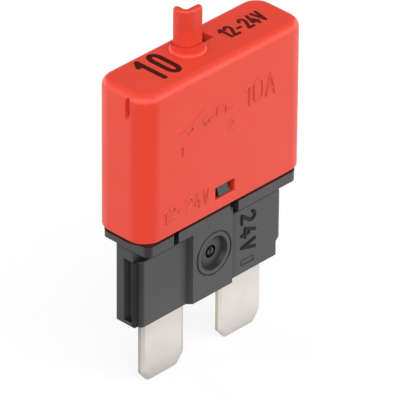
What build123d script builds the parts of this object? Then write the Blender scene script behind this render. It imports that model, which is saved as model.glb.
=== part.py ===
from build123d import *
import os

# Blade-type automotive circuit breaker with a reset button.
# Frame: X across the two blades, Y through the thickness with the front at -Y, Z up.
# The origin is the middle of the seat, where the underside of the base meets the fuse holder.
# All sizes are in millimetres.

# --- blades: the common 5.2 mm blade-fuse pattern ---
blade_width = 5.2
blade_thickness = 0.65
blade_pitch = 9.55
blade_reach = 6.6
blade_corner_run = 0.85
blade_corner_rise = 1.05
blade_corner_round = 0.45
blade_coin_depth = 0.16
blade_coin_rise = 0.34
blade_shoulder = 6.4
arm_width = 3.4
arm_top = 18.6
line_arm_x = -5.3
joggle_rise = 0.5
joggle_radius = 0.4
load_arm_x = 4.9
blade_slot_clearance = 0.04

# --- base: the moulded carrier ---
body_half_width = 8.7
body_back = 1.45
body_front = 0.5
body_height = 8.15
panel_front = 1.15
panel_left = 8.34
panel_height = 6.6
panel_bevel = 0.1
panel_edge_radius = 0.45
panel_foot_step = 0.35
panel_foot_height = 1.75
boss_width = 4.86
boss_front = 1.6
dial_radius = 2.18
dial_groove = 0.22
dial_ring_width = 0.3
dial_groove_depth = 0.1
dial_wall_run = 0.25
dial_disc_depth = 0.45
dial_screw_radius = 0.62
dial_pin_radius = 0.36
dial_screw_depth = 0.3
dial_x = 0.15
dial_height = 4.05
end_groove_front = -0.4
end_groove_back = 0.2
end_groove_depth = 0.42
end_groove_bevel = 0.4
end_groove_foot = 0.35
flange_width = 18.3
flange_depth = 5.6
flange_height = 1.45
flange_corner = 0.6
flange_fillet = 0.45
joint_height = 0.18
joint_inset = 0.3
notch_depth = 1.0
narrow_notch_x = -5.75
narrow_notch_width = 0.6
wide_notch_x = 1.35
wide_notch_width = 1.05
deck_height = 1.3
tongue_width = 2.8
tongue_thickness = 0.7
tongue_height = 2.6
lug_width = 1.3
post_width = 0.65
post_gap = 0.15
post_top = 18.4
arm_rest_height = 3.0
arm_rest_inset = 0.25
spring_peg_radius = 0.48
spring_peg_height = 1.3

# --- cover: the cap that clips over the base ---
cover_width = 19.8
cover_depth = 6.2
cover_height = 14.5
cover_corner = 1.85
cover_top_fillet = 0.8
cover_rim_fillet = 0.15
cover_end_wall = 1.2
cover_side_wall = 0.7
cover_top_wall = 0.9
cover_fit = 0.1
window_x = -0.12
window_width = 2.3
window_height = 1.2
window_sill = 1.1
window_clearance = 0.05
window_edge = 0.12
lug_recess = 0.15
lug_top_recess = 0.48
lug_land = 0.15
grip_slot_y = -1.04
grip_slot_width = 0.58
grip_slot_height = 2.75
grip_slot_depth = 0.5
grip_slot_below_top = 1.52
slot_half_width = 1.95
slot_front = 0.4
slot_rear_gap = 0.2
collar_x = -1.1
collar_y = 0.5
collar_radius = 1.65
collar_height = 0.35
collar_edge = 0.3

# --- reset slider: button stem, spring block and barrier in one moulding ---
stem_left = -1.75
stem_front = 0.1
stem_span_x = 2.15
stem_span_y = 1.71
stem_wall = 0.66
stem_corner = 1.15
stem_inner_corner = 0.2
stem_end_corner = 0.3
stem_edge = 0.26
stem_clearance = 0.1
button_stand = 3.9
slider_travel = 2.4
stop_clearance = 0.4
block_bottom = 12.8
block_top = 17.2
block_back = 1.95
spring_bore_radius = 0.95
spring_bore_depth = 2.6
barrier_thickness = 0.3
barrier_end = 6.2
barrier_below_contact = 0.5

# --- contact system ---
contact_radius = 0.9
contact_height = 16.6
fixed_contact_thickness = 0.375
moving_contact_crown = 0.43
contact_gap = 0.02
contact_shank_radius = 0.45
contact_head_radius = 0.7
contact_head_thickness = 0.15
barrier_clearance = 0.05
strip_gap = 0.1
strip_thickness = 0.25
strip_width = 3.2
strip_left = -6.3
strip_right = 6.0
rivet_radius = 0.5
rivet_head_radius = 0.95
rivet_head_thickness = 0.3
rivet_play = 0.1

# --- reset spring ---
spring_y = 0.6
spring_wire = 0.25
spring_coil_radius = 0.725
spring_turns = 6
spring_seat_gap = 0.02

# --- places worked out from the sizes above ---
blade_x = blade_pitch / 2
rim = body_height + flange_height
deck_top = rim + deck_height
cover_top = rim + cover_height
ceiling = cover_top - cover_top_wall
slot_back = stem_front + stem_span_y + slot_rear_gap
web_top = ceiling - slider_travel - stop_clearance
cavity_half_width = cover_width / 2 - cover_end_wall
cavity_half_depth = cover_depth / 2 - cover_side_wall
cavity_corner = cover_corner - cover_side_wall
deck_half_width = cavity_half_width - cover_fit
deck_half_depth = cavity_half_depth - cover_fit
window_bottom = rim + window_sill
window_middle = window_bottom + window_height / 2
blade_front = -blade_thickness / 2
fixed_face = blade_front - fixed_contact_thickness
barrier_back = fixed_face - barrier_clearance
barrier_front = barrier_back - barrier_thickness
strip_back = fixed_face - contact_gap - moving_contact_crown
strip_front = strip_back - strip_thickness
line_arm_y = strip_back + strip_gap + blade_thickness / 2
barrier_top = contact_height - contact_radius - barrier_below_contact
block_front = barrier_back
spring_seat = deck_top + spring_seat_gap
spring_top = block_bottom + spring_bore_depth - spring_seat_gap


def block(x0, x1, y0, y1, z0, z1):
    """A straight-sided block between two corners."""
    return Pos((x0 + x1) / 2, (y0 + y1) / 2, (z0 + z1) / 2) * Box(x1 - x0, y1 - y0, z1 - z0)


def prism_z(points, z0, z1):
    """A plan outline in XY, raised from z0 to z1."""
    outline = make_face(Polyline(*[(x, y, z0) for x, y in points], close=True))
    return extrude(outline, z1 - z0, dir=(0, 0, 1))


def prism_y(points, y0, y1):
    """A front outline in XZ, carried from y0 to y1."""
    outline = make_face(Polyline(*[(x, y0, z) for x, z in points], close=True))
    return extrude(outline, y1 - y0, dir=(0, 1, 0))


def prism_x(points, x0, x1):
    """A side outline in YZ, carried from x0 to x1."""
    outline = make_face(Polyline(*[(x0, y, z) for y, z in points], close=True))
    return extrude(outline, x1 - x0, dir=(1, 0, 0))


def rounded_block(width, depth, corner, z0, z1):
    """A block on the Z axis with rounded upright corners."""
    return Pos(0, 0, z0) * extrude(RectangleRounded(width, depth, corner), z1 - z0)


def drum_y(radius, x, z, y0, y1):
    """A round drum whose axis runs along Y."""
    return Pos(x, (y0 + y1) / 2, z) * Rot(90, 0, 0) * Cylinder(radius, y1 - y0)


def turned_y(points, x, z):
    """A part turned about an axis along Y; each point is a radius and a Y place."""
    profile = make_face(Polyline(*[(r, y, 0) for r, y in points], close=True))
    return Pos(x, 0, z) * revolve(profile, Axis.Y)


def near(value, target):
    """True when a place is where it should be, to a thousandth."""
    return abs(value - target) < 0.001


def tab(x):
    """The flat blade from its coined tip up to its shoulder."""
    half = blade_width / 2
    tip = -blade_reach
    knee = tip + blade_corner_rise
    run = half - blade_corner_run
    outline = [(x - half, blade_shoulder), (x - half, knee), (x - run, tip),
               (x + run, tip), (x + half, knee), (x + half, blade_shoulder)]
    plate = prism_y(outline, blade_front, -blade_front)
    corners = [e for e in plate.edges().filter_by(Axis.Y) if e.center().Z < knee + 0.1]
    plate = fillet(corners, blade_corner_round)
    for side in (blade_front, -blade_front):
        face = [f for f in plate.faces() if near(f.center().Y, side)][0]
        tip_edges = [e for e in face.edges() if e.center().Z < knee + blade_corner_round]
        plate = chamfer(tip_edges, blade_coin_rise, blade_coin_depth, reference=face)
    return plate


def rivet_hole(radius, x, y0, y1):
    """A hole through a contact arm at the height of the contacts."""
    return drum_y(radius, x, contact_height, y0, y1)


def load_blade():
    """The blade that carries the fixed contact, with a straight arm above its shoulder."""
    half = arm_width / 2
    arm = block(load_arm_x - half, load_arm_x + half, blade_front, -blade_front,
                blade_shoulder, arm_top)
    return tab(blade_x) + arm - rivet_hole(contact_shank_radius, load_arm_x, blade_front, -blade_front)


def line_blade():
    """The blade that carries the bimetal strip, its arm joggled forwards to the strip."""
    half = arm_width / 2
    bend_start = deck_top + joggle_rise
    bend_end = bend_start - line_arm_y
    line = FilletPolyline((line_arm_x - half, 0, blade_shoulder),
                          (line_arm_x - half, 0, bend_start),
                          (line_arm_x - half, line_arm_y, bend_end),
                          (line_arm_x - half, line_arm_y, arm_top), radius=joggle_radius)
    side = Plane(origin=(line_arm_x - half, 0, 0), x_dir=(0, 1, 0), z_dir=(1, 0, 0))
    band = side * trace(side.to_local_coords(line), blade_thickness)
    arm = extrude(band, arm_width, dir=(1, 0, 0))
    hole = rivet_hole(rivet_radius, line_arm_x, line_arm_y - blade_thickness, line_arm_y + blade_thickness)
    return tab(-blade_x) + arm - hole


def blade_slot(x, arm_x):
    """The passage in the base for one blade, narrowing above the shoulder."""
    gap = blade_slot_clearance
    deep = blade_thickness / 2 + gap
    wide = block(x - blade_width / 2 - gap, x + blade_width / 2 + gap, -deep, deep,
                 0, blade_shoulder + gap)
    narrow = block(arm_x - arm_width / 2 - gap, arm_x + arm_width / 2 + gap, -deep, deep,
                   blade_shoulder, deck_top)
    return wide + narrow


def base_body():
    """The lower body: rear slab, front panel with its foot step, and the sloped-sided boss."""
    slab = block(-body_half_width, body_half_width, -body_front, body_back, 0, body_height)
    foot_left = body_half_width - panel_foot_step
    panel_outline = [(-panel_left, 0), (foot_left, 0), (foot_left, panel_foot_height - panel_foot_step),
                     (body_half_width, panel_foot_height), (body_half_width, panel_height),
                     (-panel_left, panel_height)]
    panel = prism_y(panel_outline, -panel_front, -body_front)
    left_edge = [e for e in panel.edges()
                 if near(e.center().Y, -panel_front) and near(e.center().X, -panel_left)]
    panel = fillet(left_edge, panel_edge_radius)
    top_edge = [e for e in panel.edges()
                if near(e.center().Y, -panel_front) and near(e.center().Z, panel_height)]
    panel = chamfer(top_edge, panel_bevel)
    flank = boss_front - body_front
    half = boss_width / 2
    boss = prism_z([(-half, -boss_front), (half, -boss_front), (half + flank, -body_front),
                    (-half - flank, -body_front)], 0, body_height)
    return slab + panel + boss


def end_groove(side):
    """The upright groove in one end of the body, its rear wall sloped."""
    deep = body_half_width - end_groove_depth
    plan = [(body_half_width, end_groove_front), (deep, end_groove_front), (deep, end_groove_back),
            (body_half_width, end_groove_back + end_groove_bevel)]
    return prism_z([(side * x, y) for x, y in plan], end_groove_foot, panel_height)


def date_dial():
    """The mould insert's stepped rings, cut into the face of the boss."""
    outer = dial_radius
    ring = outer - dial_groove
    inner = ring - dial_ring_width
    screw, pin = dial_screw_radius, dial_pin_radius
    face = -boss_front
    disc = face + dial_disc_depth
    deep = disc + dial_screw_depth
    profile = [(0, face - 1), (outer, face - 1), (outer, face),
               ((outer + ring) / 2, face + dial_groove_depth), (ring, face), (inner, face),
               (inner - dial_wall_run, disc), (screw, disc), (screw, deep), (pin, deep), (pin, disc), (0, disc)]
    return turned_y(profile, dial_x, dial_height)


def lug(side):
    """A snap tongue with its wedge, which catches the sill of a cover window."""
    root = deck_half_depth
    nose = cover_depth / 2 - lug_recess
    brow = cover_depth / 2 - lug_top_recess
    low = window_bottom + window_clearance
    high = window_bottom + window_height - window_clearance
    wedge = prism_x([(side * root, low), (side * nose, low), (side * nose, low + lug_land),
                     (side * brow, high), (side * root, high)],
                    window_x - lug_width / 2, window_x + lug_width / 2)
    y0, y1 = sorted((side * root, side * (root - tongue_thickness)))
    tongue = block(window_x - tongue_width / 2, window_x + tongue_width / 2, y0, y1, rim, rim + tongue_height)
    return wedge + tongue


def guide_post(side):
    """One of the two posts that the slider runs between."""
    x0, x1 = sorted((side * (slot_half_width + post_gap),
                     side * (slot_half_width + post_gap + post_width)))
    return block(x0, x1, block_front + post_gap, block_back, deck_top, post_top)


def arm_rest(arm_x):
    """The block behind a contact arm that takes the contact force."""
    half = arm_width / 2 - arm_rest_inset
    return block(arm_x - half, arm_x + half, blade_thickness / 2 + blade_slot_clearance,
                 deck_half_depth, deck_top, deck_top + arm_rest_height)


def base():
    """The moulded carrier: body, flange, deck inside the cover, and the features on the deck."""
    flange = rounded_block(flange_width, flange_depth, flange_corner, body_height, rim - joint_height)
    neck_width, neck_depth = flange_width - 2 * joint_inset, flange_depth - 2 * joint_inset
    flange = flange + rounded_block(neck_width, neck_depth, flange_corner, rim - joint_height, rim)
    carrier = base_body() + flange
    neck = [e for e in carrier.edges() if near(e.center().Z, body_height)
            and (near(e.center().Y, -body_front) or near(e.center().Y, body_back))]
    carrier = fillet(neck, flange_fillet)
    deck = rounded_block(2 * deck_half_width, 2 * deck_half_depth, cavity_corner, rim, deck_top)
    peg = Pos(0, spring_y, deck_top + spring_peg_height / 2) * Cylinder(spring_peg_radius, spring_peg_height)
    carrier = carrier + deck + peg
    for side in (-1, 1):
        carrier = carrier + lug(side) + guide_post(side)
        carrier = carrier - end_groove(side)
    for arm_x in (line_arm_x, load_arm_x):
        carrier = carrier + arm_rest(arm_x)
    for x, arm_x in ((-blade_x, line_arm_x), (blade_x, load_arm_x)):
        carrier = carrier - blade_slot(x, arm_x)
    for x, width in ((narrow_notch_x, narrow_notch_width), (wide_notch_x, wide_notch_width)):
        carrier = carrier - block(x - width / 2, x + width / 2, -flange_depth / 2,
                                  -flange_depth / 2 + notch_depth, body_height, rim)
    return carrier - date_dial()


def corner_edge(solid, x, y):
    """The upright edge of a block that stands at one place in plan."""
    return [e for e in solid.edges().filter_by(Axis.Z)
            if near(e.center().X, x) and near(e.center().Y, y)]


def cover_opening(z0, z1):
    """The opening through the top: a slot behind and a notch that follows the stem in front."""
    left, front = stem_left - stem_clearance, stem_front - stem_clearance
    notch_right = stem_left + stem_span_x + stem_clearance
    opening = block(left, slot_half_width, slot_front, slot_back, z0, z1)
    opening = opening + block(left, notch_right, front, slot_back, z0, z1)
    return fillet(corner_edge(opening, left, front), stem_corner + stem_clearance)


def collar():
    """The low round lip that the button rises through."""
    lip = Pos(collar_x, collar_y, cover_top) * Cylinder(collar_radius, 2 * collar_height)
    return fillet(lip.faces().sort_by(Axis.Z)[-1].edges(), collar_edge)


def cover():
    """The cap: one thin shell with a window each side, the button opening and a slot in each end for a puller."""
    shell = rounded_block(cover_width, cover_depth, cover_corner, rim, cover_top)
    shell = fillet(shell.faces().sort_by(Axis.Z)[-1].edges(), cover_top_fillet)
    shell = fillet(shell.faces().sort_by(Axis.Z)[0].edges(), cover_rim_fillet)
    shell = shell + collar()
    shell = shell - rounded_block(2 * cavity_half_width, 2 * cavity_half_depth, cavity_corner, rim, ceiling)
    shell = shell - cover_opening(ceiling, cover_top + collar_height)
    half = window_width / 2
    shell = shell - block(window_x - half, window_x + half, -cover_depth / 2, cover_depth / 2,
                          window_bottom, window_bottom + window_height)
    window_rims = [e for e in shell.edges() if near(abs(e.center().Y), cover_depth / 2)
                   and abs(e.center().X - window_x) < half + 0.001
                   and abs(e.center().Z - window_middle) < window_height / 2 + 0.001]
    shell = fillet(window_rims, window_edge)
    half = grip_slot_height / 2
    ball = (half ** 2 + grip_slot_depth ** 2) / (2 * grip_slot_depth)
    lens = scale(Sphere(ball), by=(1, grip_slot_width / grip_slot_height, 1))
    for side in (-1, 1):
        centre_x = side * (cover_width / 2 + ball - grip_slot_depth)
        shell = shell - Pos(centre_x, grip_slot_y, cover_top - grip_slot_below_top) * lens
    return shell


def reset_slider():
    """The button stem, its web, the spring block and the barrier, moulded as one piece."""
    left, front = stem_left, stem_front
    right, back = left + stem_span_x, front + stem_span_y
    inner_x, inner_y = left + stem_wall, front + stem_wall
    stem = prism_z([(left, front), (right, front), (right, inner_y), (inner_x, inner_y),
                    (inner_x, back), (left, back)], web_top, cover_top + button_stand)
    for x, y, radius in ((left, front, stem_corner), (inner_x, inner_y, stem_inner_corner),
                         (right, front, stem_end_corner), (right, inner_y, stem_end_corner),
                         (left, back, stem_end_corner), (inner_x, back, stem_end_corner)):
        stem = fillet(corner_edge(stem, x, y), radius)
    stem = fillet(stem.faces().sort_by(Axis.Z)[-1].edges(), stem_edge)
    web_half = slot_half_width - stem_clearance
    web = block(-web_half, web_half, front, back, block_top, web_top)
    body = block(-slot_half_width, slot_half_width, block_front, block_back, block_bottom, block_top)
    bore = Pos(0, spring_y, block_bottom + spring_bore_depth / 2) * Cylinder(spring_bore_radius, spring_bore_depth)
    barrier = block(-slot_half_width, barrier_end, barrier_front, barrier_back, block_bottom, barrier_top)
    return stem + web + body + barrier - bore


def fixed_contact():
    """The rivet contact upset through the load arm."""
    back = -blade_front
    return turned_y([(0, fixed_face), (contact_radius, fixed_face), (contact_radius, blade_front),
                     (contact_shank_radius, blade_front), (contact_shank_radius, back),
                     (contact_head_radius, back), (contact_head_radius, back + contact_head_thickness),
                     (0, back + contact_head_thickness)], load_arm_x, contact_height)


def moving_contact():
    """The crowned rivet contact on the free end of the strip."""
    crown = moving_contact_crown
    ball = (contact_radius ** 2 + crown ** 2) / (2 * crown)
    front = strip_front - contact_head_thickness
    arc = RadiusArc((0, strip_back + crown, 0), (contact_radius, strip_back, 0), ball)
    rest = Polyline((contact_radius, strip_back, 0), (contact_shank_radius, strip_back, 0),
                    (contact_shank_radius, strip_front, 0), (contact_head_radius, strip_front, 0),
                    (contact_head_radius, front, 0), (0, front, 0), (0, strip_back + crown, 0))
    profile = make_face(Curve() + [arc, rest])
    return Pos(load_arm_x, 0, contact_height) * revolve(profile, Axis.Y)


def bimetal_strip():
    """The bimetal spring arm, riveted at the left and carrying the moving contact at the right."""
    length = strip_right - strip_left
    blank = RectangleRounded(length, strip_width, strip_width * 0.3)
    strip = Pos((strip_left + strip_right) / 2, strip_back, contact_height) * Rot(90, 0, 0) * extrude(
        blank, strip_thickness)
    strip = strip - rivet_hole(rivet_radius + rivet_play, line_arm_x, strip_front, strip_back)
    return strip - rivet_hole(contact_shank_radius, load_arm_x, strip_front, strip_back)


def bimetal_rivet():
    """The rivet that holds the strip on the line arm."""
    back = line_arm_y + blade_thickness / 2
    tail = back + rivet_head_thickness
    head = strip_front - rivet_play
    nose = head - rivet_head_thickness
    return turned_y([(0, nose), (rivet_head_radius, nose), (rivet_head_radius, head), (rivet_radius, head),
                     (rivet_radius, back), (rivet_head_radius, back), (rivet_head_radius, tail), (0, tail)],
                    line_arm_x, contact_height)


def reset_spring():
    """The coil spring between the deck and the slider, pressed short while the contacts are closed."""
    low = spring_seat + spring_wire / 2
    rise = spring_top - spring_wire / 2 - low
    path = Pos(0, spring_y, low) * Helix(rise / spring_turns, rise, spring_coil_radius)
    section = Plane(path @ 0, z_dir=path % 0) * Circle(spring_wire / 2)
    return sweep(section, path=path)


nodes = {
    "base": base,
    "cover": cover,
    "line_blade": line_blade,
    "load_blade": load_blade,
    "fixed_contact": fixed_contact,
    "moving_contact": moving_contact,
    "bimetal_strip": bimetal_strip,
    "bimetal_rivet": bimetal_rivet,
    "reset_slider": reset_slider,
    "reset_spring": reset_spring,
}

os.makedirs("parts", exist_ok=True)
for name, make in nodes.items():
    export_step(make(), f"parts/{name}.step")
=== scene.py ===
# %% [markdown]
# # A plug-in automotive circuit breaker
# This breaker takes the place of a blade fuse. A red cap with a reset button clips over a black base, and two tinned
# blades plug into the holder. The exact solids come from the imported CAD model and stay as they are: this script gives
# them their finishes, adds what is printed on or raised from their faces, and lights them.

# %% Load the fixed frame
import math
import bpy
import numpy as np
from mathutils import Matrix, Vector


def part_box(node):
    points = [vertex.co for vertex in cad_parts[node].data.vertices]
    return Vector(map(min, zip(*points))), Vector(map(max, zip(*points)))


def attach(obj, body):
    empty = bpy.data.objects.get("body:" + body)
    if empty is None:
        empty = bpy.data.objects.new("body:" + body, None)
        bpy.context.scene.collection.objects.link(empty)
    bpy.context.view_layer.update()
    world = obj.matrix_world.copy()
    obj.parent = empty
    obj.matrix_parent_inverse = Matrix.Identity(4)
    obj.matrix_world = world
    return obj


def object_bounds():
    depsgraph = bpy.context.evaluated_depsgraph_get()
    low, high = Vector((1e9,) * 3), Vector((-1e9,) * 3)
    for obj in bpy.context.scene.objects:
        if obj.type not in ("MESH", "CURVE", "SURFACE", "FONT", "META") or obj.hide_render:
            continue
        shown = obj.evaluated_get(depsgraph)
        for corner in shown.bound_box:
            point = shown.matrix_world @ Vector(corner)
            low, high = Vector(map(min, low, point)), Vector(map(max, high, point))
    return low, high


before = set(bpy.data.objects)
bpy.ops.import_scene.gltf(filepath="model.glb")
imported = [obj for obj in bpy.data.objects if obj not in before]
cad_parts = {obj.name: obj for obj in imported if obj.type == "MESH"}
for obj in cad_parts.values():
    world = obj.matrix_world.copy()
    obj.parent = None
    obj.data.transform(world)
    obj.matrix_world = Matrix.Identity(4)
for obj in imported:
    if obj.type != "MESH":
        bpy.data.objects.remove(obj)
cad_box = [list(corner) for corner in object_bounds()]
mm = 0.001
print("CAD box in mm", [[round(v / mm, 3) for v in corner] for corner in cad_box])

# %% [markdown]
# ## Where things are
# The cap's top and front are read from the box of its CAD node. The few sizes that a box can't give are listed: how
# far the front panel and its boss stand forward, how high the collar round the button is, and where the mould's dial
# sits in the boss.

# %% Read the main faces
cap_low, cap_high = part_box("cover")
collar_height, pin_depth = 0.35 * mm, 0.45 * mm
panel_front, boss_front = -1.15 * mm, -1.6 * mm
cap_top, cap_front = cap_high.z - collar_height, cap_low.y
dial_centre = Vector((0.15 * mm, boss_front, 4.05 * mm))
pin_front = boss_front + pin_depth
print("cap top", round(cap_top / mm, 3), "cap front", round(cap_front / mm, 3), "mm")

# %% [markdown]
# ## The camera
# The breaker is seen from its front left and from above, with a long lens from half a metre away, so its upright edges
# stay almost parallel. The camera leans by under half a degree.

# %% Place the camera
camera_azimuth, camera_elevation, camera_lean = math.radians(45.989), math.radians(32.047), math.radians(0.437)
camera_aim, camera_distance = Vector((0, 0, 8.82 * mm)), 0.5475
lens, sensor_width = 573.8, 36
towards_camera = Vector((-math.sin(camera_azimuth) * math.cos(camera_elevation),
                         -math.cos(camera_azimuth) * math.cos(camera_elevation), math.sin(camera_elevation)))
level = Vector((0, 0, 1)).cross(towards_camera).normalized()
upright = towards_camera.cross(level)
across = level * math.cos(camera_lean) + upright * math.sin(camera_lean)
upwards = upright * math.cos(camera_lean) - level * math.sin(camera_lean)
camera_turn = Matrix((across, upwards, towards_camera)).transposed()

camera = bpy.data.objects.new("camera", bpy.data.cameras.new("camera"))
camera.data.lens, camera.data.sensor_width = lens, sensor_width
camera.data.clip_start, camera.data.clip_end = 0.01, 10
camera.matrix_world = Matrix.Translation(camera_aim + towards_camera * camera_distance) @ camera_turn.to_4x4()
bpy.context.scene.collection.objects.link(camera)
bpy.context.scene.camera = camera
bpy.context.scene.view_settings.view_transform = "Standard"
print("camera at", [round(v, 4) for v in camera.matrix_world.translation], "m")

# %% [markdown]
# ## The studio
# The breaker stands in an even white room, so its top, front and end are lit alike. Three large soft lamps, at the
# left, at the right and behind the viewer, add the small difference that shapes its rounded edges, and two low ones do
# the same for its back. In reflections the room is dim: a mirrored white room would lay a grey veil over the red top.

# %% Helpers for node trees
def add_node(tree, kind, **values):
    """Adds a node; a value named after an attribute sets it, and any other one sets the input of that name."""
    node = tree.nodes.new(kind)
    for name, value in values.items():
        if hasattr(node, name):
            setattr(node, name, value)
        else:
            node.inputs[name.replace("_", " ")].default_value = value
    return node


def join(tree, source, output, target, socket):
    """Links an output of one node to an input of another."""
    tree.links.new(source.outputs[output], target.inputs[socket])


def math_node(tree, operation, first, second, clamped=False):
    """A Math node; each operand is a number, or a node and the name of its output."""
    node = add_node(tree, "ShaderNodeMath", operation=operation, use_clamp=clamped)
    for socket, operand in zip(node.inputs, (first, second)):
        if isinstance(operand, tuple):
            tree.links.new(operand[0].outputs[operand[1]], socket)
        else:
            socket.default_value = operand
    return node


def ramp(tree, source, output, start, stop, low, high):
    """A Map Range node: a value from start to stop becomes one from low to high, and stays there beyond."""
    node = add_node(tree, "ShaderNodeMapRange")
    for label, value in (("From Min", start), ("From Max", stop), ("To Min", low), ("To Max", high)):
        node.inputs[label].default_value = value
    join(tree, source, output, node, "Value")
    return node

# %% Light the breaker
def soft_lamp(name, place, width, height, radiance):
    """A rectangular lamp aimed at the middle of the breaker. Its power is radiance times area times pi."""
    data = bpy.data.lights.new(name, "AREA")
    data.shape, data.size, data.size_y = "RECTANGLE", width, height
    data.energy = radiance * width * height * math.pi
    lamp = bpy.data.objects.new(name, data)
    bpy.context.scene.collection.objects.link(lamp)
    lamp.location = place
    lamp.rotation_euler = (camera_aim - lamp.location).to_track_quat("-Z", "Y").to_euler()


lamps = (("left_lamp", (-0.504, 0.084, 0.19), (0.45, 0.45), 1.75),
         ("right_lamp", (0.19, -0.47, 0.20), (0.45, 0.45), 1.95),
         ("front_lamp", (-0.336, -0.336, 0.297), (0.45, 0.45), 2.1),
         ("back_left_lamp", (-0.10, 0.54, 0.10), (0.45, 0.26), 2.2),
         ("back_right_lamp", (0.54, -0.10, 0.10), (0.45, 0.26), 2.2))
for lamp_name, lamp_place, (lamp_width, lamp_height), lamp_radiance in lamps:
    soft_lamp(lamp_name, Vector(lamp_place), lamp_width, lamp_height, lamp_radiance)
print(len(lamps), "lamps", [lamp[0] for lamp in lamps])

# %% Surround it with a white room
world = bpy.data.worlds.new("studio")
bpy.context.scene.world = world
world.use_nodes = True
room_fill, room_mirrored = 0.64, 0.15
background = world.node_tree.nodes["Background"]
background.inputs["Color"].default_value = (1, 1, 1, 1)
room_path = add_node(world.node_tree, "ShaderNodeLightPath")
room_level = ramp(world.node_tree, room_path, "Is Glossy Ray", 0, 1, room_fill, room_mirrored)
join(world.node_tree, room_level, 0, background, "Strength")
print("room fills with", room_fill, "and mirrors at", room_mirrored)

# %% [markdown]
# ## The floor
# The floor is a pale sheet. Its own colour is grey, so that it throws little light up under the breaker. To the camera
# and in reflections it glows up to white, and it still darkens where the blades stand on it. In reflections its glow
# fades out towards the viewer, a painted falloff that leaves the near corner of the cap deep red. In reflections it is
# also darker right under the breaker, a painted shadow, and in a band on the left, painted shade that dims what the
# end of the base mirrors.

# %% Lay the floor
floor_half, floor_height = 3.0, cad_box[0][2]
floor_mesh = bpy.data.meshes.new("floor")
floor_mesh.from_pydata([(-floor_half, -floor_half, floor_height), (floor_half, -floor_half, floor_height),
                        (floor_half, floor_half, floor_height), (-floor_half, floor_half, floor_height)],
                       [], [(0, 1, 2, 3)])
floor = bpy.data.objects.new("floor", floor_mesh)
bpy.context.scene.collection.objects.link(floor)
print("floor at", round(floor_height / mm, 2), "mm")

# %% Start its material
pale = bpy.data.materials.new("pale_floor")
pale.use_nodes = True
floor_tree = pale.node_tree
floor_tree.nodes.clear()
floor_mesh.materials.append(pale)
floor_spot = add_node(floor_tree, "ShaderNodeTexCoord")
print(pale.name, "started on", floor.name)

# %% Measure along a direction of the floor
def along_direction(x, y):
    """How far a point of the floor lies along a level direction of length 1."""
    node = add_node(floor_tree, "ShaderNodeVectorMath", operation="DOT_PRODUCT")
    node.inputs[1].default_value = (x, y, 0)
    join(floor_tree, floor_spot, "Object", node, 0)
    return node

# %% Work out how brightly reflections see it
fade_start, fade_stop, faded = 6 * mm, 30 * mm, 0.02
foot_half_x, foot_half_y, foot_margin, foot_shade = 7.5 * mm, 0.6 * mm, 2 * mm, 0.68
band_middle, band_core, band_edge, band_shade = 17 * mm, 3 * mm, 19 * mm, 0.64
# In reflections the floor's glow fades towards the viewer: a painted falloff.
nearness = along_direction(-math.sin(camera_azimuth), -math.cos(camera_azimuth))
fading = ramp(floor_tree, nearness, "Value", fade_start, fade_stop, 1.0, faded)
floor_parts = add_node(floor_tree, "ShaderNodeSeparateXYZ")
join(floor_tree, floor_spot, "Object", floor_parts, 0)
beside_x, beside_y = [math_node(floor_tree, "SUBTRACT",
                                (math_node(floor_tree, "ABSOLUTE", (floor_parts, axis), 0), 0), foot_half)
                      for axis, foot_half in (("X", foot_half_x), ("Y", foot_half_y))]
beside_foot = math_node(floor_tree, "MAXIMUM", (beside_x, 0), (beside_y, 0))
# In the floor's reflected glow: a painted shadow under the breaker and a band of painted shade on the left.
under_breaker = ramp(floor_tree, beside_foot, 0, 0.0, foot_margin, foot_shade, 1.0)
leftwards = along_direction(-math.sqrt(0.5), math.sqrt(0.5))
from_band = math_node(floor_tree, "SUBTRACT", (leftwards, "Value"), band_middle)
off_band = math_node(floor_tree, "ABSOLUTE", (from_band, 0), 0)
in_band = ramp(floor_tree, off_band, 0, band_core, band_edge, band_shade, 1.0)
shades = math_node(floor_tree, "MULTIPLY", (under_breaker, 0), (in_band, 0))
mirrored_level = math_node(floor_tree, "MULTIPLY", (fading, 0), (shades, 0))
print("reflections of the floor fade from", round(fade_start / mm), "to", round(fade_stop / mm), "mm")

# %% Show each kind of ray its own floor
floor_grey, floor_glow = 0.30, 0.69
matt = add_node(floor_tree, "ShaderNodeBsdfDiffuse", Color=(floor_grey, floor_grey, floor_grey, 1))
camera_glow = add_node(floor_tree, "ShaderNodeEmission", Strength=floor_glow)
mirror_glow = add_node(floor_tree, "ShaderNodeEmission")
floor_path = add_node(floor_tree, "ShaderNodeLightPath")
camera_sum = add_node(floor_tree, "ShaderNodeAddShader")
mirror_mix, camera_mix = [add_node(floor_tree, "ShaderNodeMixShader") for _ in range(2)]
floor_out = add_node(floor_tree, "ShaderNodeOutputMaterial")
join(floor_tree, mirrored_level, 0, mirror_glow, "Strength")
join(floor_tree, matt, 0, camera_sum, 0)
join(floor_tree, camera_glow, 0, camera_sum, 1)
for mix, ray, otherwise, seen in ((mirror_mix, "Is Glossy Ray", matt, mirror_glow),
                                  (camera_mix, "Is Camera Ray", mirror_mix, camera_sum)):
    join(floor_tree, floor_path, ray, mix, 0)
    join(floor_tree, otherwise, 0, mix, 1)
    join(floor_tree, seen, 0, mix, 2)
join(floor_tree, camera_mix, 0, floor_out, 0)
print("floor grey", floor_grey, "and glow", floor_glow)

# %% [markdown]
# ## Marks on the mouldings
# The cap carries its rating in dark print on top and in low raised strokes on its front, and the base has its voltage
# moulded on it. They could be text objects, but a rounded stroke that rises softly out of a moulded face is easier to
# make as a height field: each glyph is a few strokes, the height at a point depends only on its distance to the nearest
# stroke, and the cells near a stroke are kept and closed into a thin solid.

# %% Draw the glyphs as strokes
def bend(x, y, reach_x, reach_y, start, end, steps=14):
    """Points on an ellipse about (x, y), from one angle to another in degrees."""
    angle = np.radians(np.linspace(start, end, steps))
    return np.column_stack((x + reach_x * np.cos(angle), y + reach_y * np.sin(angle)))


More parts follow.
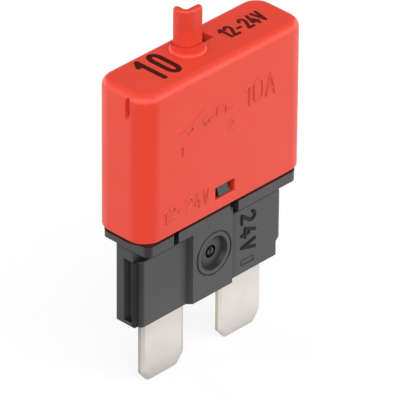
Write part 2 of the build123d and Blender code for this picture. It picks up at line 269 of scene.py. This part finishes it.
def run(*points):
    """A stroke straight from point to point."""
    return np.array(points, float)


wide, one_wide = 0.48, 0.30
half_wide = wide / 2
glyphs = {
    "0": [np.vstack((bend(half_wide, 1 - half_wide, half_wide, half_wide, 0, 180),
                     bend(half_wide, half_wide, half_wide, half_wide, 180, 360), run((wide, 1 - half_wide))))],
    "1": [run((0.02, 0.80), (0.26, 1), (0.26, 0))],
    "2": [np.vstack((bend(half_wide, 0.75, half_wide, 0.25, 165, -28), run((0, 0), (wide, 0))))],
    "4": [run((0.30, 1), (0, 0.26), (wide + 0.04, 0.26)), run((0.36, 0.52), (0.36, 0))],
    "A": [run((0, 0), (half_wide, 1), (wide, 0)), run((0.08, 0.30), (wide - 0.08, 0.30))],
    "V": [run((0, 1), (half_wide, 0), (wide, 1))],
    "-": [run((0.06, 0.42), (wide - 0.1, 0.42))],
}


def written(text, x, y, height, spacing=0.30, widen=1.0):
    """The strokes of a short text whose lower left corner is at (x, y), each glyph moved along by those before it."""
    strokes, pen = [], 0.0
    for letter in text:
        strokes += [(glyph + (pen, 0)) * (height * widen, height) + (x, y) for glyph in glyphs[letter]]
        pen += (one_wide if letter == "1" else wide) + spacing
    return strokes


print("glyphs", " ".join(glyphs))

# %% Make a mesh object from arrays
def solid(name, places, faces):
    """A mesh object at the origin from points in metres and lists of corners."""
    mesh = bpy.data.meshes.new(name)
    mesh.from_pydata(places.tolist(), [], faces)
    mesh.update()
    piece = bpy.data.objects.new(name, mesh)
    bpy.context.scene.collection.objects.link(piece)
    print(name, len(faces), "faces, box in mm", np.round(places.min(0) / mm, 2), np.round(places.max(0) / mm, 2))
    return piece

# %% Measure the distance to the strokes
def distance_to(strokes, u, v):
    """The distance from each point (u, v) of a grid to the nearest straight leg of the strokes.

    The foot of the point on a leg's line is held between the leg's ends, and the distance is from point to foot.
    """
    spots = np.column_stack((u.ravel(), v.ravel()))
    starts = np.vstack([stroke[:-1] for stroke in strokes])
    legs = np.vstack([np.diff(stroke, axis=0) for stroke in strokes])
    offset = spots[:, None] - starts[None]
    along = np.clip((offset * legs).sum(2) / np.maximum((legs ** 2).sum(1), 1e-12), 0, 1)
    return np.linalg.norm(offset - along[..., None] * legs, axis=2).min(1).reshape(u.shape)

# %% Close kept cells into a thin solid
def closed_sheet(u, v, height, cells, sunk):
    """The kept cells of a grid as a front, a flat back at depth sunk, and a wall along each edge that one cell has."""
    number = np.arange(u.size).reshape(u.shape)
    quads = np.stack((number[:-1, :-1], number[1:, :-1], number[1:, 1:], number[:-1, 1:]), -1)[cells]
    edges = np.stack((quads, np.roll(quads, -1, 1)), -1).reshape(-1, 2)
    key, back_key = edges[:, 0] * u.size + edges[:, 1], edges[:, 1] * u.size + edges[:, 0]
    rim = edges[~np.isin(key, back_key)]
    used, packed = np.unique(quads, return_inverse=True)
    packed, rim, count = packed.reshape(quads.shape), np.searchsorted(used, rim), len(used)
    front = np.column_stack((u.ravel()[used], v.ravel()[used], height.ravel()[used]))
    back = np.column_stack((front[:, :2], np.full(count, -sunk)))
    walls = np.column_stack((rim[:, 1], rim[:, 0], rim[:, 0] + count, rim[:, 1] + count))
    return np.vstack((front, back)), np.vstack((packed, packed[:, ::-1] + count, walls))

# %% Raise strokes from a face
mark_sunk = 0.012


def raised_strokes(name, strokes, width, cell, rise, slope, centre, right, up):
    """A thin solid that follows strokes on a flat face, all in millimetres.

    On a square grid, reach = distance to the nearest stroke. Cells with a corner inside reach < width / 2 are kept, and
    corners beyond it are drawn in to it along the slope of the distance. The height is rise times a smooth step from 0
    to 1 over the slope inwards from the outline, or just rise where the slope is 0. The back lies under the face.
    """
    low = np.min([stroke.min(0) for stroke in strokes], 0) - width
    high = np.max([stroke.max(0) for stroke in strokes], 0) + width
    u, v = np.meshgrid(np.arange(low[0], high[0], cell), np.arange(low[1], high[1], cell), indexing="ij")
    reach = distance_to(strokes, u, v)
    steep_u, steep_v = np.gradient(reach, cell)
    steepness = np.maximum(np.hypot(steep_u, steep_v), 1e-6)
    outside, inside = np.maximum(reach - width / 2, 0), np.maximum(width / 2 - reach, 0)
    step = np.clip(inside / slope, 0, 1) if slope else np.ones_like(reach)
    kept = reach < width / 2
    cells = kept[:-1, :-1] | kept[1:, :-1] | kept[:-1, 1:] | kept[1:, 1:]
    points, faces = closed_sheet(u - outside * steep_u / steepness, v - outside * steep_v / steepness,
                                 rise * step * step * (3 - 2 * step), cells, mark_sunk)
    axes = np.array((right, up, np.cross(right, up)), float)
    return solid(name, points * mm @ axes + np.array(centre), faces.tolist())

# %% [markdown]
# ## Print on the top
# The rating is padded on in dark ink: a large 10 for the current, left of the button, and the voltage range to its
# right. Both read from the front.

# %% Print the ratings
top_face = dict(centre=(0, 0, cap_top), right=(1, 0, 0), up=(0, 1, 0))
ink_rise = 0.012
rating = raised_strokes("current_print", written("10", -6.24, -1.30, 3.30, spacing=0.52, widen=0.6),
                        width=0.50, cell=0.05, rise=ink_rise, slope=0, **top_face)
range_print = raised_strokes("voltage_print", written("12-24V", 2.8, -0.66, 1.50, spacing=0.26, widen=0.78),
                             width=0.31, cell=0.03, rise=ink_rise, slope=0, **top_face)

# %% [markdown]
# ## Raised strokes on the front
# A breaker's front usually shows its circuit symbol: two terminals, a lever between them, and the box of the thermal
# release. The two terminals are numbered, and the rating stands beside and below. The strokes could be cut into the
# face instead, but a cut in the mould is the easier one to make, and it leaves strokes that stand out by about a tenth
# of a millimetre.

# %% Raise the symbol and the rating
front_face = dict(centre=(0, cap_front, 0), right=(1, 0, 0), up=(0, 0, 1))
wire_z, coil_z, terminal = 19.1, 19.8, 0.3
symbol = [run((-5.8, wire_z), (-4.7, wire_z)), bend(-4.4, wire_z, terminal, terminal, 0, 360, 18),
          run((-4.2, 19.35), (-2.7, 20.35)), bend(-2.4, wire_z, terminal, terminal, 0, 360, 18),
          run((-2.1, wire_z), (-1.2, wire_z), (-1.2, coil_z), (-0.1, coil_z), (-0.1, wire_z), (0.9, wire_z))]
symbol_relief = raised_strokes("symbol_relief", symbol + written("10A", 2.2, 18.5, 2.1, spacing=0.24),
                               width=0.26, cell=0.045, rise=0.11, slope=0.08, **front_face)
number_relief = raised_strokes("number_relief", written("1", -5.6, 16.9, 1.1) + written("2", 0.3, 16.9, 1.1),
                               width=0.18, cell=0.04, rise=0.08, slope=0.06, **front_face)
voltage_relief = raised_strokes("voltage_relief", written("12-24V", -7.6, 10.95, 1.45, spacing=0.30, widen=0.9),
                                width=0.24, cell=0.045, rise=0.10, slope=0.08, **front_face)

# %% [markdown]
# ## The voltage on the base
# The base has its highest voltage moulded on it, turned on its side, with a small frame below. The digits are near
# black and a little smoother than the panel; their darkness is painted shade, standing in for the shade inside sunk
# strokes.

# %% Raise the voltage on the base
side_face = dict(centre=(0, panel_front, 0), right=(0, 0, -1), up=(1, 0, 0))
frame_mark = [run((-1.20, 4.05), (-0.75, 4.05), (-0.75, 5.55), (-1.20, 5.55), (-1.20, 4.05))]
base_digits = raised_strokes("base_digits", written("24V", -5.86, 4.05, 1.62, spacing=0.37, widen=1.05),
                             width=0.36, cell=0.045, rise=0.10, slope=0.07, **side_face)
base_frame = raised_strokes("base_frame", frame_mark, width=0.15, cell=0.035, rise=0.08, slope=0.05, **side_face)

# %% Raise the number in the mould's dial
dial_number = written("2", dial_centre.x / mm - 0.16, dial_centre.z / mm - 0.26, 0.52)
pin_digit = raised_strokes("pin_digit", dial_number, width=0.15, cell=0.02, rise=0.04, slope=0.03,
                           centre=(0, pin_front, 0), right=(1, 0, 0), up=(0, 0, 1))

# %% [markdown]
# ## The seam and shade under the cap
# Where the cap's rim meets the flange of the base there is a narrow dark line, partly a seam and partly the cap's
# shade.
# It could be a groove in both parts, but the cap's rim would hide it from above, so it is a thin dark bead instead,
# just below the rim: painted shade, tinted red as painted light from the red cap. It runs round the flange in two
# stretches, because the flange has two notches in its front. The cap stands out further at its ends, so the bead dips a
# little there and rises again where the cap's corner draws in.

# %% Carry a profile along a path
def swept(profile, centres, aside, up):
    """A profile's points (u, v) carried along a path: centre + u aside + v up at each step, closed by its two ends."""
    count, steps = len(profile), len(centres)
    places = (np.asarray(centres)[:, None] + profile[None, :, :1] * np.asarray(aside)[:, None]
              + profile[None, :, 1:] * np.asarray(up)[:, None]).reshape(-1, 3)
    number = np.arange(steps * count).reshape(steps, count)
    beside = np.roll(number, -1, 1)
    sides = np.stack((number[:-1], beside[:-1], beside[1:], number[1:]), -1).reshape(-1, 4)
    return places, sides.tolist() + [number[0, ::-1].tolist(), number[-1].tolist()]


def joined(name, *parts):
    """One piece from several swept parts, with millimetres turned into metres."""
    places = np.vstack([part[0] for part in parts]) * mm
    starts = np.cumsum([0] + [len(part[0]) for part in parts])
    return solid(name, places, [[corner + start for corner in face]
                                for start, part in zip(starts, parts) for face in part[1]])

# %% Lay the seam round the flange
flange_half_x, flange_half_y, flange_corner = 9.15, 2.8, 0.6
seam_low, seam_high, seam_proud, seam_sunk = 9.15, 9.40, 0.02, 0.05
seam_dip, dip_from = 0.40, -0.50
left_notch, right_notch = (-6.05, -5.45), (0.825, 1.875)
front_row, back_row = flange_corner - flange_half_y, flange_half_y - flange_corner
# The outline goes round the corners front right, back right, back left and front left, and has one more point on each
# end, where the dip is full. The dip grows from nothing at the front corner and dies away round the back one.
corner_steps = 7
quarter = np.linspace(0, 90, corner_steps)
turns = np.radians(np.concatenate((quarter - 90, [0], quarter, quarter + 90, [180], quarter + 180)))
sides_x = np.repeat((1, -1), 2 * corner_steps + 1) * (flange_half_x - flange_corner)
sides_y = np.repeat((front_row, dip_from, back_row, dip_from, front_row),
                    (corner_steps, 1, 2 * corner_steps, 1, corner_steps))
outward = np.column_stack((np.cos(turns), np.sin(turns), 0 * turns))
dips = seam_dip * outward[:, 0] ** 2 * np.clip((sides_y - front_row) / (dip_from - front_row), 0, 1)
round_flange = np.column_stack((sides_x, sides_y, -dips)) + flange_corner * outward


def seam_stretch(start_x, stop_x, middle, middle_outward):
    """The bead from one place on the front to another, by way of the points between them."""
    forward = (0, -1, 0)
    centres = np.vstack(([(start_x, -flange_half_y, 0)], middle, [(stop_x, -flange_half_y, 0)]))
    aside = np.vstack(([forward], middle_outward, [forward]))
    profile = np.array([(seam_proud, seam_low), (-seam_sunk, seam_low), (-seam_sunk, seam_high),
                        (seam_proud, seam_high)])
    return swept(profile, centres, aside, np.tile((0, 0, 1), (len(centres), 1)))


no_points = np.empty((0, 3))
# The bead is painted shade under the cap's rim, tinted red as painted light from the cap.
seam_and_shade = joined("cap_seam_and_shade", seam_stretch(right_notch[1], left_notch[0], round_flange, outward),
              seam_stretch(left_notch[1], right_notch[0], no_points, no_points))

# %% [markdown]
# ## The rib at the end of the base
# The panel stops short of the left end, and in the corner behind its edge a slim upright rib stiffens the slab. It is a
# small rounded outline carried straight up.

# %% Raise the rib
rib_left, rib_right, rib_front, rib_back, rib_round = -8.72, -8.30, -0.74, -0.38, 0.08
rib_foot, rib_top = 0.02, 6.58
rib_outline = np.vstack(([(rib_right, rib_front), (rib_right, rib_back), (rib_left, rib_back)],
                         bend(rib_left + rib_round, rib_front + rib_round, rib_round, rib_round, 180, 270, 6)))
rib = joined("end_rib", swept(rib_outline, [(0, 0, rib_foot), (0, 0, rib_top)], [(1, 0, 0)] * 2, [(0, 1, 0)] * 2))

# %% [markdown]
# ## Finishes
# Moulded plastic is never quite flat: it has a fine grain from the tool, slow ripples where it cooled, and small
# rounded edges. One node group gives all of that as a normal. A second one finds the outer edges, which go paler,
# partly as handling wear and partly as a painted highlight, and the inner corners, which go darker as painted shade.
# Each material sets its own amounts.

# %% Start a group
def new_group(name, inputs, outputs):
    """A shader node group with the sockets listed as name, type and first value."""
    group = bpy.data.node_groups.new(name, "ShaderNodeTree")
    for label, kind, value in inputs:
        group.interface.new_socket(label, in_out="INPUT", socket_type=kind).default_value = value
    for label, kind in outputs:
        group.interface.new_socket(label, in_out="OUTPUT", socket_type=kind)
    return group, add_node(group, "NodeGroupInput"), add_node(group, "NodeGroupOutput")

# %% Build the shared surface group
grain_deep, ripple_deep = 0.01 * mm, 0.05 * mm
skin, skin_in, skin_out = new_group(
    "moulded_skin",
    [("Grain Scale", "NodeSocketFloat", 6000), ("Grain Height", "NodeSocketFloat", 0.3),
     ("Ripple Scale", "NodeSocketFloat", 250), ("Ripple Height", "NodeSocketFloat", 0.2),
     ("Edge Radius", "NodeSocketFloat", 0.06 * mm)],
    [("Normal", "NodeSocketVector"), ("Mottle", "NodeSocketFloat")])
where = add_node(skin, "ShaderNodeTexCoord")
grain = add_node(skin, "ShaderNodeTexNoise", Detail=2, Roughness=0.6)
ripple = add_node(skin, "ShaderNodeTexNoise", Detail=2, Roughness=0.5)
edge = add_node(skin, "ShaderNodeBevel", samples=4)
ripple_bump = add_node(skin, "ShaderNodeBump", Distance=ripple_deep)
grain_bump = add_node(skin, "ShaderNodeBump", Distance=grain_deep)
for noise, scale in ((grain, "Grain Scale"), (ripple, "Ripple Scale")):
    join(skin, where, "Object", noise, "Vector")
    join(skin, skin_in, scale, noise, "Scale")
join(skin, skin_in, "Edge Radius", edge, "Radius")
for bump, before, height, noise in ((ripple_bump, edge, "Ripple Height", ripple),
                                    (grain_bump, ripple_bump, "Grain Height", grain)):
    join(skin, before, 0, bump, "Normal")
    join(skin, skin_in, height, bump, "Strength")
    join(skin, noise, 0, bump, "Height")
join(skin, grain_bump, 0, skin_out, "Normal")
join(skin, ripple, 0, skin_out, "Mottle")
print(skin.name, len(skin.nodes), "nodes")

# %% Build the group that finds edges and corners
edge_gain = 3.4
wear_and_shade, wear_and_shade_in, wear_and_shade_out = new_group(
    "edges_and_corners",
    [("Edge Width", "NodeSocketFloat", 0.12 * mm), ("Corner Reach", "NodeSocketFloat", 0.6 * mm)],
    [("Edge", "NodeSocketFloat"), ("Corner", "NodeSocketFloat")])
rounded = add_node(wear_and_shade, "ShaderNodeBevel", samples=4)
facing = add_node(wear_and_shade, "ShaderNodeNewGeometry")
agree = add_node(wear_and_shade, "ShaderNodeVectorMath", operation="DOT_PRODUCT")
open_sky = add_node(wear_and_shade, "ShaderNodeAmbientOcclusion", samples=8, only_local=True)
join(wear_and_shade, wear_and_shade_in, "Edge Width", rounded, "Radius")
join(wear_and_shade, wear_and_shade_in, "Corner Reach", open_sky, "Distance")
join(wear_and_shade, rounded, 0, agree, 0)
join(wear_and_shade, facing, "Normal", agree, 1)
# Edge drives paler outer edges, partly wear and partly a painted highlight; Corner, 1 - AO, drives painted shade.
turned = math_node(wear_and_shade, "SUBTRACT", 1.0, (agree, "Value"))
edge_mask = math_node(wear_and_shade, "MULTIPLY", (turned, 0), edge_gain, clamped=True)
outer_edge = math_node(wear_and_shade, "MULTIPLY", (edge_mask, 0), (open_sky, "AO"))
shut_in = math_node(wear_and_shade, "SUBTRACT", 1.0, (open_sky, "AO"), clamped=True)
join(wear_and_shade, outer_edge, 0, wear_and_shade_out, "Edge")
join(wear_and_shade, shut_in, 0, wear_and_shade_out, "Corner")
print(wear_and_shade.name, len(wear_and_shade.nodes), "nodes")

# %% Mix colours
def mixed(tree, factor, first, second):
    """A colour mixed by a factor; each colour is a tuple of numbers or a Mix node."""
    node = add_node(tree, "ShaderNodeMix", data_type="RGBA")
    tree.links.new(factor, node.inputs["Factor"])
    for label, colour in (("A", first), ("B", second)):
        if isinstance(colour, tuple):
            node.inputs[label].default_value = (*colour, 1)
        else:
            tree.links.new(colour.outputs["Result"], node.inputs[label])
    return node


def tint_over(material, factor, colour):
    """Lays one more colour over a material's base colour, by a factor."""
    tree = material.node_tree
    socket = tree.nodes["Principled BSDF"].inputs["Base Color"]
    above = mixed(tree, factor, socket.links[0].from_node, colour)
    tree.links.new(above.outputs["Result"], socket)

# %% Make a moulded or plated surface
red_light_reach, red_light_share, corner_shade_gain = (1.0, 0.15, 0.08), 0.35, 4.0


def moulded(name, colour, deeper, roughness, grain=0.3, ripple=0.2, ripple_scale=250, metallic=0.0, shine=0.5,
            edge_radius=0.06 * mm, glow_depth=0.0, edge_wear_and_highlight=None, shade=None, corner_reach=0.6 * mm, polish=0.0):
    """A surface whose colour drifts to a deeper one with the ripples, and whose roughness drifts too.

    Where glow_depth isn't 0, light goes that far into the plastic, red further than green and blue. worn is the colour
    that outer edges go to, partly as wear and partly as a painted highlight, and shade is the colour of inner corners,
    a painted shade. polish is a second skin of shine on open faces, which fades in the corners as painted shade on
    the reflections: its weight is polish x (1 - dulled x corner).
    """
    material = bpy.data.materials.new(name)
    material.use_nodes = True
    tree = material.node_tree
    shader = tree.nodes["Principled BSDF"]
    shader.inputs["Metallic"].default_value = metallic
    shader.inputs["Specular IOR Level"].default_value = shine
    if glow_depth:
        shader.inputs["Subsurface Weight"].default_value = red_light_share
        shader.inputs["Subsurface Radius"].default_value = red_light_reach
        shader.inputs["Subsurface Scale"].default_value = glow_depth
    surface = add_node(tree, "ShaderNodeGroup", node_tree=skin)
    for label, value in (("Grain Height", grain), ("Ripple Scale", ripple_scale), ("Ripple Height", ripple),
                         ("Edge Radius", edge_radius)):
        surface.inputs[label].default_value = value
    tint = mixed(tree, surface.outputs["Mottle"], colour, deeper)
    tree.links.new(tint.outputs["Result"], shader.inputs["Base Color"])
    if edge_wear_and_highlight:
        places = add_node(tree, "ShaderNodeGroup", node_tree=wear_and_shade)
        places.inputs["Corner Reach"].default_value = corner_reach
        # Paler outer edges, partly wear and partly a painted highlight; darker inner corners, a painted shade.
        tint_over(material, places.outputs["Edge"], edge_wear_and_highlight)
        tint_over(material, places.outputs["Corner"], shade)
        if polish:
            # The coat fades in the corners: painted shade on the reflections.
            shader.inputs["Coat Roughness"].default_value = sum(roughness) / 2
            join(tree, ramp(tree, places, "Corner", 0, 1 / corner_shade_gain, polish, 0.0), 0, shader, "Coat Weight")
    join(tree, ramp(tree, surface, "Mottle", 0, 1, *roughness), 0, shader, "Roughness")
    join(tree, surface, "Normal", shader, "Normal")
    return material

# %% [markdown]
# ## The plastics and metals
# The cap and its button are the same red plastic, in which light goes in a little before it comes out, so their edges
# look soft. The button's copy of it is set slightly deeper in colour, as painted shade against the red light that the
# cap's top throws on it. The base is black and takes most of its brightness from what it mirrors. The blades are brass
# with a thin coat of tin, and a strip and a spring of steel and two silver contacts are inside.

# %% Make the plastics and metals
red_plastic = moulded("red_plastic", (0.80, 0.055, 0.024), (0.77, 0.048, 0.019), (0.36, 0.46), shine=0.7,
                      glow_depth=0.5 * mm, edge_wear_and_highlight=(0.82, 0.085, 0.055), shade=(0.66, 0.030, 0.015))
# The button's red is deeper than the cap's: painted shade against the red light that the cap's top throws on it.
button_plastic = moulded("button_plastic", (0.70, 0.050, 0.022), (0.67, 0.044, 0.018), (0.36, 0.46), shine=0.7,
                         glow_depth=0.5 * mm, edge_wear_and_highlight=(0.74, 0.085, 0.055), shade=(0.60, 0.028, 0.014))
black_plastic = moulded("black_plastic", (0.026, 0.025, 0.026), (0.020, 0.019, 0.020), (0.42, 0.52), shine=0.35,
                        edge_wear_and_highlight=(0.050, 0.049, 0.052), shade=(0.004, 0.003, 0.003), corner_reach=1.0 * mm, polish=1.0)
tinned_brass = moulded("tinned_brass", (0.85, 0.80, 0.745), (0.75, 0.72, 0.68), (0.32, 0.48), metallic=1.0,
                       grain=0.25, ripple=0.3, ripple_scale=700, edge_wear_and_highlight=(0.86, 0.84, 0.80), shade=(0.60, 0.56, 0.50))
silver_contact = moulded("silver_contact", (0.88, 0.87, 0.84), (0.82, 0.81, 0.78), (0.25, 0.35), metallic=1.0)
spring_steel = moulded("spring_steel", (0.58, 0.58, 0.59), (0.50, 0.50, 0.51), (0.25, 0.35), metallic=1.0)
print("materials", [material.name for material in bpy.data.materials])

# %% [markdown]
# ## Brass at the blades' cut edges
# A blade's two broad faces look along Y and keep their tin. Its sheared edges look another way, and their tin is thin,
# so the brass shows through. Just under the body the tin is darker and warmer, and the sheared edges darker still: this
# is painted shade from the body above. All of this could be painted by hand, but the way a face looks and its height
# tell it just as well.

# %% Show the brass where the blades were cut
blade_tree = tinned_brass.node_tree
face_direction = add_node(blade_tree, "ShaderNodeNewGeometry")
blade_spot = add_node(blade_tree, "ShaderNodeTexCoord")
facing_parts, spot_parts = [add_node(blade_tree, "ShaderNodeSeparateXYZ") for _ in range(2)]
join(blade_tree, face_direction, "Normal", facing_parts, 0)
join(blade_tree, blade_spot, "Object", spot_parts, 0)
along_y = math_node(blade_tree, "ABSOLUTE", (facing_parts, "Y"), 0)
# Painted shade: darker, warmer tin just under the body, and darker sheared edges near it.
shade_under_body = ramp(blade_tree, spot_parts, "Z", -2.4 * mm, -0.2 * mm, 0.0, 0.40)
sheared = ramp(blade_tree, along_y, 0, 0.25, 0.6, 1.0, 0.0)
near_body = ramp(blade_tree, spot_parts, "Z", -2.2 * mm, -0.4 * mm, 0.15, 0.75)
shaded_edge_near_body = math_node(blade_tree, "MULTIPLY", (near_body, 0), (sheared, 0))
for factor, colour in ((shade_under_body, (0.66, 0.58, 0.51)), (sheared, (0.70, 0.62, 0.51)),
                       (shaded_edge_near_body, (0.36, 0.30, 0.25))):
    tint_over(tinned_brass, factor.outputs[0], colour)
print(tinned_brass.name, len(blade_tree.nodes), "nodes")

# %% [markdown]
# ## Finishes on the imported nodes
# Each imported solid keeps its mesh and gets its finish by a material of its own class. The rivet is tinned like the
# blade that it fastens.

# %% Give every node its finish
for finish, node_names in ((red_plastic, ["cover"]), (button_plastic, ["reset_slider"]), (black_plastic, ["base"]),
                           (tinned_brass, ["line_blade", "load_blade", "bimetal_rivet"]),
                           (silver_contact, ["fixed_contact", "moving_contact"]),
                           (spring_steel, ["bimetal_strip", "reset_spring"])):
    for node_name in node_names:
        node_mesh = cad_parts[node_name].data
        node_mesh.materials.clear()
        node_mesh.materials.append(finish)
    print(finish.name, "on", node_names)

# %% [markdown]
# ## Finishes on the marks
# A mark raised from the cap or the base is the same plastic as its part. Ink is dull, and fine strokes of it are
# thinner and let more red through. The seam bead is painted shade, tinted red as painted light from the cap. The rib
# is a darker, duller copy of the base's plastic, as painted shade, and the base's own marks are near black, as painted
# shade, and a little smoother than its grained panel.

# %% Finish the marks
dark_ink = moulded("dark_ink", (0.055, 0.004, 0.002), (0.080, 0.006, 0.004), (0.55, 0.70), grain=0.5, edge_radius=0.0,
                   shine=0.15)
thin_ink = moulded("thin_ink", (0.095, 0.005, 0.003), (0.120, 0.007, 0.005), (0.55, 0.70), grain=0.5, edge_radius=0.0,
                   shine=0.15)
seam_shade = moulded("seam_shade", (0.075, 0.015, 0.012), (0.060, 0.012, 0.009), (0.8, 0.95), shine=0.0)
# The rib is a darker, duller copy of the base's plastic: painted shade in the corner where it stands.
shaded_rib_plastic = moulded("shaded_rib_plastic", (0.022, 0.021, 0.021), (0.016, 0.015, 0.015), (0.55, 0.70), shine=0.25)
# The base's own marks are near black: painted shade, standing in for the shade inside sunk strokes.
shaded_mould_mark = moulded("shaded_mould_mark", (0.009, 0.009, 0.009), (0.015, 0.015, 0.015), (0.35, 0.50), shine=0.15)
for piece, body, material, slot in ((rating, "housing", dark_ink, "cover_plastic"),
                                    (range_print, "housing", thin_ink, "cover_plastic"),
                                    (symbol_relief, "housing", red_plastic, "cover_plastic"),
                                    (number_relief, "housing", red_plastic, "cover_plastic"),
                                    (voltage_relief, "housing", red_plastic, "cover_plastic"),
                                    (base_digits, "housing", shaded_mould_mark, "base_plastic"),
                                    (pin_digit, "housing", shaded_mould_mark, "base_plastic"),
                                    (seam_and_shade, "housing", seam_shade, "base_plastic"),
                                    (rib, "housing", shaded_rib_plastic, "base_plastic"),
                                    (base_frame, "housing", black_plastic, "base_plastic")):
    piece.data.materials.append(material)
    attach(piece, body)
    print(piece.name, "rides on", body, "in", material.name)
